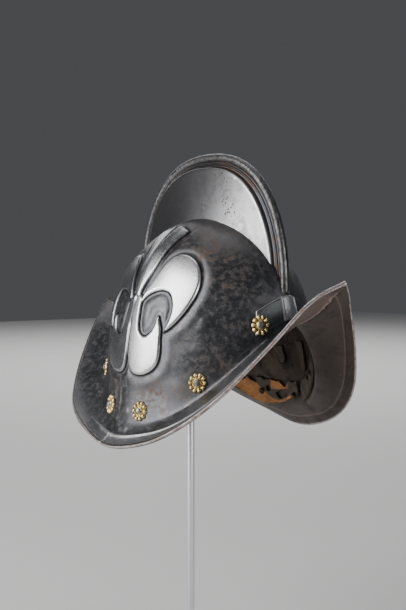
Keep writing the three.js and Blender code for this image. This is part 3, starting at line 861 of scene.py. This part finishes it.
class MORION_OT_halves(bpy.types.Operator):
    """Make the skull and brim of each half as one sheet with its ornament"""

    bl_idname = "morion.halves"
    bl_label = "Skull and brim"

    def execute(self, context):
        s = sizes()
        finishes = [steel_outside(), steel_edge(), steel_inside()]
        columns, skull_rows, brim_rows, inner_rows = 320, 160, 48, 40
        turn = np.linspace(0, math.pi, columns)
        full = crown_level() - CROWN_GAP - root_height(turn)
        skull = on_skull(turn, np.sin(np.linspace(math.pi / 2, 0, skull_rows))[:, None] ** 1.15 * full)
        width = np.linalg.norm(on_brim(turn, 0 * turn) - brim_edge(turn), axis=-1)
        across = np.linspace(0, 1, brim_rows + 1)[1:, None]
        outer = np.concatenate([skull, on_brim(turn, across)])
        self.round_root(outer, skull_rows)
        count = len(outer)
        on_top = np.arange(count)[:, None] < skull_rows - ROOT_ROWS
        edge_distance = np.full((count, columns), FAR)
        edge_distance[skull_rows:] = (1 - across) * width / MM
        crease = edge_distance - s.border_width / MM
        fade = smooth(turn, math.radians(112), math.radians(92))  # the crease runs out behind the middle
        ornament, leaf = (np.where(on_top, distance, PLAIN) for distance in lily_distances(outer))
        relief = self.lily_relief(outer, ornament, leaf) + bell(crease, 1.2) * fade
        relief -= 0.1 * np.maximum(-crease, 0) * fade
        outer = outer + normals_of(outer) * relief[..., None] * MM
        normal = normals_of(outer)
        roll = self.rolled_edge(outer, normal)
        under, under_band = self.underside(turn, width)
        inner_share = np.sin(np.linspace(0, math.pi / 2, inner_rows))[1:, None] ** 1.1
        inner = on_skull(turn, inner_share * full, s.wall)
        lengths = [len(part) for part in (outer, roll, under, inner)]
        row = np.repeat(np.arange(sum(lengths)), columns - 1)
        slots = np.digitize(row, [count - 1, count + len(roll) - 1])
        # painted highlights: the border band outside the crease is painted lighter, and a bright line is
        # painted along the crease
        band, ridge = smooth(crease, 0.6, -1.2) * fade, bell(crease + 0.2, 0.8) * fade
        # painted highlight on the rolled edge near the front tip
        tip_highlight = smooth(turn, math.radians(5), math.radians(2))

        def stack(*parts):
            """A field from what its four parts hold"""
            return np.concatenate([np.broadcast_to(p, (n, columns)) for p, n in zip(parts, lengths)])

        for side in SIDES:
            top, edge, rust, chips_and_highlights = outer, roll, 0.45 * spots(outer, RUST), 0
            if side < 0:
                dents = spots(outer, DENTS) * on_top + self.folded_edge(turn, edge_distance)
                top = outer + normal * dents[..., None] * MM
                edge = roll + top[-1] - outer[-1]
                rust, chips_and_highlights = spots(outer, RUST), spots(outer, CHIPS)
            lap, lap_light, lap_dark = self.lap_under_tip(under, side)
            fields = {
                "ornament": stack(np.minimum(ornament, PLAIN), PLAIN, PLAIN, PLAIN),
                "shade": stack(self.painted_lily_shade(outer), 0, 0, 0),
                "rust": stack(np.clip(rust, 0, 1.2), 0, 0, 0),
                # bare chips, plus the border crease and the rolled edge near the front tip painted bright as
                # highlights
                "chips_and_highlights": stack(np.clip(chips_and_highlights + 0.8 * ridge, 0, 1), tip_highlight, tip_highlight, tip_highlight),
                # painted highlight on the brim's border band
                "band": stack(band, 0, np.maximum(under_band, lap_light), 0),
                # painted shade over the whole inside of the skull, and a dark slit along the lap
                "hollow_tarnish_and_shade": stack(0, 0, lap_dark, 1),
            }
            points = np.concatenate([top, edge, under + lap, inner])
            make_half(side, "shell", points, np.maximum(points[..., 0], 0), finishes, fields, slots)
        return {"FINISHED"}

    def round_root(self, outer, skull_rows):
        """Soften the turn from skull to brim"""
        low, high = skull_rows - 1 - ROOT_ROWS, skull_rows - 1 + ROOT_ROWS
        for _ in range(2 * ROOT_ROWS):
            middle = (outer[low - 1 : high - 1] + outer[low + 1 : high + 1]) / 2
            outer[low:high] += 0.5 * (middle - outer[low:high])

    def lily_relief(self, outer, ornament, leaf):
        """Height of the raised lily, its hollow outline, its leaf and its middle ridge"""
        halo, groove, leaf_lift, ridge_lift, ridge_reach = 0.5, 0.7, 0.9, 1.5, 9
        axis = np.abs(outer[..., 1]) / MM
        relief = sizes().lily_relief / MM * smooth(-ornament, -0.8, 0.8)
        relief += halo * bell(ornament - 9, 4.0) * (ornament > 0)
        relief -= groove * bell(ornament - 2.6, 2.0) * smooth(ornament, 0, 1.5)
        relief += leaf_lift * smooth(-leaf, -0.6, 0.6)
        ridge = np.clip(1 - axis / ridge_reach, 0, 1) * smooth(lily_share(outer), 0.5, 0.65)
        return relief + ridge_lift * ridge * smooth(-ornament, -0.9, 0.9)

    def painted_lily_shade(self, outer):
        """Painted shade on the lily: its rear half and the top of its middle petal are darkened, and its
        foot a little, while its front half stays bright
        """
        height = lily_share(outer)
        rear = smooth(-outer[..., 1] / MM, 1.5, -3.5) * smooth(height, 1.15, 0.75)
        return np.clip(rear + 0.3 * smooth(height, 0.5, 0.2) + 0.8 * smooth(height, 0.81, 0.86), 0, 1)

    def folded_edge(self, turn, edge_distance):
        """A small fold in the lowest point of the brim"""
        lowest = math.radians(93)
        along = (turn - lowest) * sizes().brim_half_length / MM
        return (0.6 * bell(along - 3.2, 1.8) - 0.9 * bell(along, 1.4)) * smooth(edge_distance, 20, 3)

    def lap_under_tip(self, under, side):
        """One half laps the other under the front tip, with a ragged raised edge"""
        out, forward = side * under[..., 0] / MM, -under[..., 1] / MM
        line = -1.5 + 0.7 * np.sin(forward * 0.9) + 0.6 * np.sin(forward * 2.3)
        part = smooth(forward, 118, 126) * smooth(forward, 184, 176)
        ridge, slit = bell(out - line, 1.8) * part, bell(out - line - 2.8, 1.3) * part
        light = 1.4 * ridge + 0.7 * smooth(out, 0, -2) * part
        return (1.2 * slit - 1.6 * ridge)[..., None] * np.array([0, 0, MM]), light, slit

    def rolled_edge(self, outer, normal):
        """Rows round the brim's turned edge, from its upper side to its underside"""
        s = sizes()
        middle = outer[-1] - normal[-1] * s.wall / 2
        away = outer[-1] - outer[-3]
        away /= np.linalg.norm(away, axis=-1, keepdims=True)
        angles = np.radians(np.linspace(60, -240, 11))
        ring = [normal[-1] * math.sin(a) + away * (math.cos(a) - 0.7) for a in angles]
        return middle + s.roll_radius * np.array(ring)

    def underside(self, turn, width):
        """Points of the brim's underside from edge to root, and the bright line of its crease"""
        s = sizes()
        across = np.linspace(1, 0, 60)[1:, None]
        under = on_brim(turn, across)
        crease = ((1 - across) * width - s.border_width) / MM
        sunk = s.wall + 0.16 * MM * np.maximum(-crease, 0) - 0.5 * MM * bell(crease, 1.2)
        return under - normals_of(under[::-1])[::-1] * sunk[..., None], bell(crease, 0.75)


class MORION_OT_combs(bpy.types.Operator):
    """Make both sides of the hollow comb with its half moon and rolled crest"""

    bl_idname = "morion.combs"
    bl_label = "Comb"

    def execute(self, context):
        s = sizes()
        comb = steel_comb()
        columns = 300
        turn = np.linspace(0, math.pi, columns)
        crest = comb_crest(turn)
        middle = np.array([0, 0, s.stand_height + s.comb_spring])
        reach = np.linalg.norm(crest - middle, axis=-1)
        swell = 0.45 + 0.55 * np.sin(turn) ** 0.7
        band = s.comb_band * (0.96 + 0.14 * np.cos(turn) - 0.12 * np.sin(turn) ** 4)
        inward, thick = self.section(reach, band, swell)
        outer = crest + (middle - crest) * (inward / reach)[..., None]
        y, z = outer[..., 1], outer[..., 2]
        forward, up, distance = -y / MM, z / MM, inward / MM
        moon = band / MM - distance - 0.15 + 3.4 * bell(forward - 48, 2.4) * bell(up - 488, 2.6)
        rib = bell(distance - (s.comb_rim + 0.36 * (band - s.comb_rim)) / MM, 0.7)
        worn = np.clip(smooth(distance, 4.6, 3.4) + 0.4 * rib, 0, 1)
        # painted highlight on the half moon, rising towards its lower front
        moon_highlight = smooth(forward - up + 440, -100, 90) ** 1.5
        wave = np.sin(y * 900) * np.sin(z * 700 + 1) + 0.7 * np.sin(y * 2300 + 4)
        thick += 0.06 * MM * wave * smooth(distance, 5, 0) * (inward > -0.9 * s.comb_rim)
        points = np.concatenate([outer, outer[[-1, 0]]])
        closing = np.zeros((2, columns))
        thick = np.concatenate([thick, closing])
        fields = {
            "moon": np.concatenate([moon, closing + 20]),
            "crest": np.concatenate([worn, closing]),
            "moon_highlight": np.concatenate([moon_highlight, closing]),
        }
        for side in SIDES:
            make_half(side, "comb", points, thick, [comb], fields)
        return {"FINISHED"}

    def section(self, reach, band, swell):
        """Way in from the crest and half thickness, down the roll, the hollow, the half moon and the foot"""
        s = sizes()
        half, rim, gap = s.comb_half, s.comb_rim, band - s.comb_rim
        angles = np.linspace(0, math.radians(148), 16)
        rows = [(-rim * math.cos(a), rim * math.sin(a)) for a in angles]
        rows += [(rim + share * gap, thick * half * (0.5 + 0.5 * swell)) for share, thick in COMB_HOLLOW]
        rows += [(band + share * s.comb_band, thick * half * swell) for share, thick in COMB_MOON]
        start = rows[-1][0]
        for share in np.linspace(0, 1, 70)[1:]:
            inward = start + (0.97 * reach - start) * share
            grow = np.minimum(1, (inward - start) / (0.45 * reach - start))
            rows.append((inward, (half + (s.comb_foot - half) * grow) * swell))
        return (np.array([np.broadcast_to(row[part], len(reach)) for row in rows]) for part in (0, 1))


class MORION_OT_joint_plates(bpy.types.Operator):
    """Make the riveted plates across the joint at brow and nape"""

    bl_idname = "morion.joint_plates"
    bl_label = "Joint plates"

    def execute(self, context):
        s = sizes()
        steel = plate_steel()
        reach = math.radians(s.plate_reach)
        offset = np.linspace(-reach, reach, 150)
        rows = np.linspace(0, 1, 24)[:, None]
        ends = (reach - np.abs(offset)) * END_RADIUS
        edge = smooth(np.minimum(np.minimum(rows, 1 - rows) * s.plate_height, ends), 0, 0.9 * MM)
        # painted highlight along the fold, which is also raised a little
        fold_highlight = bell(np.abs(offset) - math.radians(8.5), math.radians(0.7))
        painted_lit_facet = smooth(np.abs(offset), math.radians(8.8), math.radians(7.8))
        fields = {"fold_highlight": np.maximum(0.75 * smooth(edge, 0.8, 0.1), fold_highlight), "painted_lit_facet": painted_lit_facet}
        lift = s.seam + s.plate_thick * (0.5 + 0.4 * edge) + 0.6 * MM * fold_highlight
        for name, middle in (("front", 0.0), ("rear", math.pi)):
            turn = middle + offset
            low = s.plate_rise + s.plate_level * (root_height(middle) - root_height(turn))
            ground = on_skull(turn, low + s.plate_height * rows)
            normal = normals_of(ground)
            outward = np.sum(normal * (ground - np.array([0, 0, s.stand_height])), axis=-1, keepdims=True)
            normal *= np.sign(outward)
            outer, inner = ground + normal * lift[..., None], ground + normal * s.seam
            nodes = [f"{name}_joint_plate"]
            make_sheet(f"{name}_plate", outer, inner, steel, nodes, fields, sharp=50)
        return {"FINISHED"}


def rosette_place(side, degrees, share):
    """Turn, height, speed round, point and normal of a rosette"""
    s = sizes()
    turn = side * math.radians(degrees)
    step = 0.01
    climb = root_height(turn + step) - root_height(turn - step)
    run = np.linalg.norm((on_skull(turn + step, 0.0) - on_skull(turn - step, 0.0))[:2])
    rise = s.rosette_rise * share * math.hypot(1, climb / run)
    across = on_skull(turn + step, rise) - on_skull(turn - step, rise)
    up = on_skull(turn, rise + 2 * MM) - on_skull(turn, rise - 2 * MM)
    normal = np.cross(across, up)
    normal /= np.linalg.norm(normal)
    return turn, root_height(turn) + rise, run / (2 * step), on_skull(turn, rise), normal


def rivet_section(inside, lip):
    """Half section of a rivet, from its rounded inner head to its outer one"""
    s = sizes()
    head, shank, dome = s.rivet_head, s.rivet_radius, 1.5 * MM
    inner = ((0, 1), (0.55, 0.9), (0.85, 0.6))
    outer = ((0.9, 0), (0.97, 0.2), (0.85, 0.6), (0.5, 0.9), (0, 1))
    rows = [(head * wide, -inside - dome * tall) for wide, tall in inner]
    rows += [(head, -inside - s.seam), (head * 0.96, -inside), (shank, -inside), (shank, lip)]
    return rows + [(head * wide, lip + dome * tall) for wide, tall in outer]


class MORION_OT_rosettes(bpy.types.Operator):
    """Make the brass rosettes and the rivets through them"""

    bl_idname = "morion.rosettes"
    bl_label = "Rosettes and rivets"

    def execute(self, context):
        s = sizes()
        gold, iron = brass(), rivet_steel()
        points_per_petal = 12
        segments = points_per_petal * s.rosette_petals
        angle = np.linspace(0, 2 * math.pi, segments, endpoint=False)
        petal = np.abs(np.cos(angle * s.rosette_petals / 2)) ** 0.55
        radius, collar, bead = np.array(ROSETTE_SECTION).T[..., None]
        notch = 1 - 0.17 * (1 - petal) * np.maximum(0, radius - 0.5) / 0.5
        out = s.rosette_radius * radius * notch
        x, y = out * np.cos(angle), out * np.sin(angle)
        top = s.rosette_thick * np.maximum(collar, 1.15 * bead * petal)
        hollow = 0.95 * np.clip(1 - top / s.rosette_thick / 0.42, 0, 1)
        hollow_tarnish_and_shade = np.maximum(hollow, 0.7 * (petal < 0.5) * (radius > 0.5))
        faces = grid_faces(len(radius), segments, close_rows=True, close_columns=True)
        for side, name in SIDES.items():
            for number, (degrees, share) in enumerate(ROSETTES, 1):
                turn, height, speed, here, normal = rosette_place(side, degrees, share)
                over_plate = min(degrees, 180 - degrees) < s.plate_reach
                under = s.plate_thick + s.seam if over_plate else 0.0
                around = turn + x / speed
                ground = on_skull(around, height + y - root_height(around))
                points = ground + normal * (under + s.seam + top)[..., None]
                piece, nodes = f"{name}_rosette_{number}_brass", [f"{name}_rosette_{number}"]
                make_piece(piece, points, faces, [gold], nodes, {"hollow_tarnish_and_shade": hollow_tarnish_and_shade}, sharp=70)
                lined = any(row[0] == side and row[1] < degrees < row[2] for row in LINING)
                inside = s.wall + 2 * s.seam + (s.leather + 2 * s.seam if lined else 0.0)
                lip = under + s.rosette_thick + 2 * s.seam
                shape, rivet_faces = lathe_mesh(rivet_section(inside, lip), segments=24)
                turn_up = Vector((0, 0, 1)).rotation_difference(Vector(normal)).to_matrix()
                placed = shape @ np.array(turn_up).T + here
                piece, nodes = f"{name}_rivet_{number}_steel", [f"{name}_rivet_{number}"]
                fields = {"inner": shape[:, 2] < 0}
                make_piece(piece, placed, rivet_faces, [iron], nodes, fields, sharp=50)
        return {"FINISHED"}


class MORION_OT_lining(bpy.types.Operator):
    """Make the remains of the leather lining with torn edges and holes"""

    bl_idname = "morion.lining"
    bl_label = "Lining"

    def execute(self, context):
        s = sizes()
        leather = old_leather()
        for number, (side, start, end, lost) in enumerate(LINING, 1):
            longest = number == 2
            columns, rows = (end - start) * 4, 56
            degrees, share = np.linspace(start, end, columns), np.linspace(0, 1, columns)
            mix = np.linspace(0, 1, rows)[:, None]
            tear = ragged(share * 60 + 3 * number)
            low = np.interp(degrees, *zip(*HANGING)) * MM if longest else s.band_height * lost * (1 - share)
            rise = low * (1 - mix) + s.band_height * mix
            curl = 3.5 * MM * np.exp(-mix / 0.22) * (side > 0) * smooth(degrees, 88, 98)
            near = s.wall + 2 * s.seam + curl
            wave = 0.5 * MM * (1 + np.sin(share * 23 + number * 2) * np.sin(mix * 7))
            turn = side * np.radians(degrees)
            outer, inner = (on_skull(turn, rise, near + depth) for depth in (0.0, s.leather * 0.75 + wave))
            fields = {"tan": self.tan_part(degrees, rise, mix, tear) if longest else 0}
            keep = self.kept(degrees, share, mix, tear, longest)[:-1, :-1]
            name, nodes = f"lining_{number}_leather", [f"lining_{number}"]
            make_sheet(name, outer, inner, leather, nodes, fields, sharp=60, keep=keep)
        for number, flap in enumerate(FLAPS, 1):
            name, (outer, inner) = f"lining_flap_{number}", self.flap(*flap)
            make_sheet(name, outer, inner, leather, (), {"tan": 0}, sharp=60)
        return {"FINISHED"}

    def tan_part(self, degrees, rise, mix, tear):
        """Where the longest piece is bright: below a ragged line, and one patch above it"""
        bound = np.interp(degrees, *zip(*BRIGHT)) + 0.8 * tear
        patch = smooth(degrees, 84, 86) * smooth(degrees, 98, 96) * smooth(mix, 0.56, 0.62)
        return np.clip(smooth(rise / MM, bound + 1.2, bound - 1.2) + patch, 0, 1)

    def kept(self, degrees, share, mix, tear, longest):
        """Which cells are left once the edges are ragged and the holes torn out"""
        top = 0.93 + 0.05 * tear - 0.35 * bell(share - 0.6, 0.05) - 0.25 * bell(share - 0.2, 0.04)
        foot = 0.03 + 0.025 * ragged(share * 110)
        ends = np.minimum(share, 1 - share) * 50 > 1.0 + 0.8 * ragged(mix * 40)
        keep = (mix < top) & (mix > foot) & ends
        for middle, up, half, tall in TEARS if longest else ():
            across, along = (degrees - middle) / half, (mix - up) / tall
            keep &= across**2 + along**2 > 1 + 0.22 * ragged(5 * np.arctan2(along, across))
        return keep

    def flap(self, degrees, foot, wide, tall, lean):
        """Outer and inner points of a tongue of leather that is left on the left wall above the band"""
        s = sizes()
        around, up = np.linspace(-1, 1, 25), np.linspace(0, 1, 33)[:, None]
        round_foot = np.sqrt(np.clip(1 - (np.maximum(0, 0.45 - up) / 0.45) ** 2, 0.02, 1))
        x = wide * around * round_foot + tall * lean * (up - 0.5)
        turn = math.radians(degrees) + x * MM / s.skull_half_width
        rise = (foot + tall * up) * MM + root_height(math.radians(degrees)) - root_height(turn)
        curl = 0.7 * MM * around**2 * (1 - up) + 0.5 * MM * (1 - up) ** 2
        near = s.wall + s.seam + curl
        return on_skull(turn, rise, near), on_skull(turn, rise, near + 1.4 * MM)


class MORION_OT_stand(bpy.types.Operator):
    """Make the polished rod and the round base, and finish the head that carries the helmet"""

    bl_idname = "morion.stand"
    bl_label = "Stand"

    def execute(self, context):
        (low_x, _, _), (high_x, _, top) = BASE_BOX
        radius, bevel, foot = (high_x - low_x) / 2, 2 * MM, 0.6 * MM
        rows = [(0, 0.0), (radius - foot, 0.0), (radius, foot), (radius, top - bevel)]
        for a in np.linspace(0.25, 1.45, 6):
            rows.append((radius - bevel * (1 - math.cos(a)), top - bevel * (1 - math.sin(a))))
        rows += [(radius - bevel, top), (radius * 0.5, top), (0, top)]
        make_turned("round_base", rows, 128, BASE_BOX, satin_black("satin_base"), "stand_base")
        (low_x, _, low), (high_x, _, high) = ROD_BOX
        radius, chamfer = (high_x - low_x) / 2, 0.5 * MM
        rows = [(0, low), (radius, low)] + [(radius, z) for z in np.linspace(top, high - chamfer, 12)]
        rows += [(radius - chamfer, high), (0, high)]
        make_turned("polished_rod", rows, 64, ROD_BOX, polished_rod(), "stand_rod")
        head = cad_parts["stand_head"]
        head.data.materials.clear()
        head.data.materials.append(satin_black("matt_head"))
        return {"FINISHED"}


def area_light(name, place, target, size, power):
    data = bpy.data.lights.new(name, "AREA")
    data.shape = "RECTANGLE"
    data.size, data.size_y = size
    data.energy = power
    light = bpy.data.objects.new(name, data)
    light.location = place
    light.rotation_euler = (target - place).to_track_quat("-Z", "Y").to_euler()
    bpy.context.scene.collection.objects.link(light)


class MORION_OT_stage(bpy.types.Operator):
    """Make the floor, the lights and the camera"""

    bl_idname = "morion.stage"
    bl_label = "Stage"

    def execute(self, context):
        scene = context.scene
        self.make_floor(scene)
        world = bpy.data.worlds.new("studio")
        world.use_nodes = True
        background = world.node_tree.nodes["Background"].inputs
        background["Color"].default_value = (0.6, 0.62, 0.66, 1)
        background["Strength"].default_value = 0.12
        scene.world = world

        across, toward, up = Vector((0.788, -0.6157, 0)), Vector((-0.6157, -0.788, 0)), Vector((0, 0, 1))
        middle = Vector((0, 0, LIT_HEIGHT))
        for name, x, y, z, size, power in LIGHTS:
            area_light(name, middle + across * x + toward * y + up * z, middle, size, power)
        beyond = Vector((2.0, 2.6, 1.7))
        area_light("beyond", beyond, beyond - up, (3.5, 3.5), 70)

        data = bpy.data.cameras.new("camera")
        data.sensor_width = 36
        data.lens = LENS
        data.clip_start, data.clip_end = 0.05, 50
        camera = bpy.data.objects.new("camera", data)
        back = Vector(VIEW_BACK).normalized()
        camera.location = up * VIEW_HEIGHT + back * VIEW_DISTANCE - across * VIEW_SHIFT
        camera.rotation_euler = (-back).to_track_quat("-Z", "Y").to_euler()
        scene.collection.objects.link(camera)
        scene.camera = camera
        return {"FINISHED"}

    def make_floor(self, scene):
        reach = FLOOR_REACH
        corners = [(-reach, -reach, 0), (reach, -reach, 0), (reach, reach, 0), (-reach, reach, 0)]
        mesh = bpy.data.meshes.new("floor")
        mesh.from_pydata(corners, [], [(0, 1, 2, 3)])
        c, g = colours(), Finish("plain_floor")
        tone = g.mix(g.noise(g.place(), 3.0, 2.0), c.floor * 0.97, c.floor)
        mesh.materials.append(g.done(tone, 0.7))
        floor = bpy.data.objects.new("floor", mesh)
        scene.collection.objects.link(floor)


OPERATORS = (
    MORION_OT_halves,
    MORION_OT_combs,
    MORION_OT_joint_plates,
    MORION_OT_rosettes,
    MORION_OT_lining,
    MORION_OT_stand,
    MORION_OT_stage,
)


class MORION_PT_panel(bpy.types.Panel):
    """Sizes, colours and the steps that make the helmet"""

    bl_idname = "MORION_PT_panel"
    bl_label = "Comb morion"
    bl_space_type = "VIEW_3D"
    bl_region_type = "UI"
    bl_category = "Morion"

    def draw(self, context):
        for group in (context.scene.morion_sizes, context.scene.morion_colours):
            column = self.layout.column(align=True)
            for key in group.__annotations__:
                column.prop(group, key)
        for operator in OPERATORS:
            self.layout.operator(operator.bl_idname)


CLASSES = (MORION_PG_sizes, MORION_PG_colours, *OPERATORS, MORION_PT_panel)


def register():
    for cls in CLASSES:
        bpy.utils.register_class(cls)
    bpy.types.Scene.morion_sizes = PointerProperty(type=MORION_PG_sizes)
    bpy.types.Scene.morion_colours = PointerProperty(type=MORION_PG_colours)


def unregister():
    del bpy.types.Scene.morion_colours
    del bpy.types.Scene.morion_sizes
    for cls in reversed(CLASSES):
        bpy.utils.unregister_class(cls)


def main():
    register()
    for operator in OPERATORS:
        family, name = operator.bl_idname.split(".")
        getattr(getattr(bpy.ops, family), name)()
    bpy.context.view_layer.update()


if __name__ == "__main__":
    main()
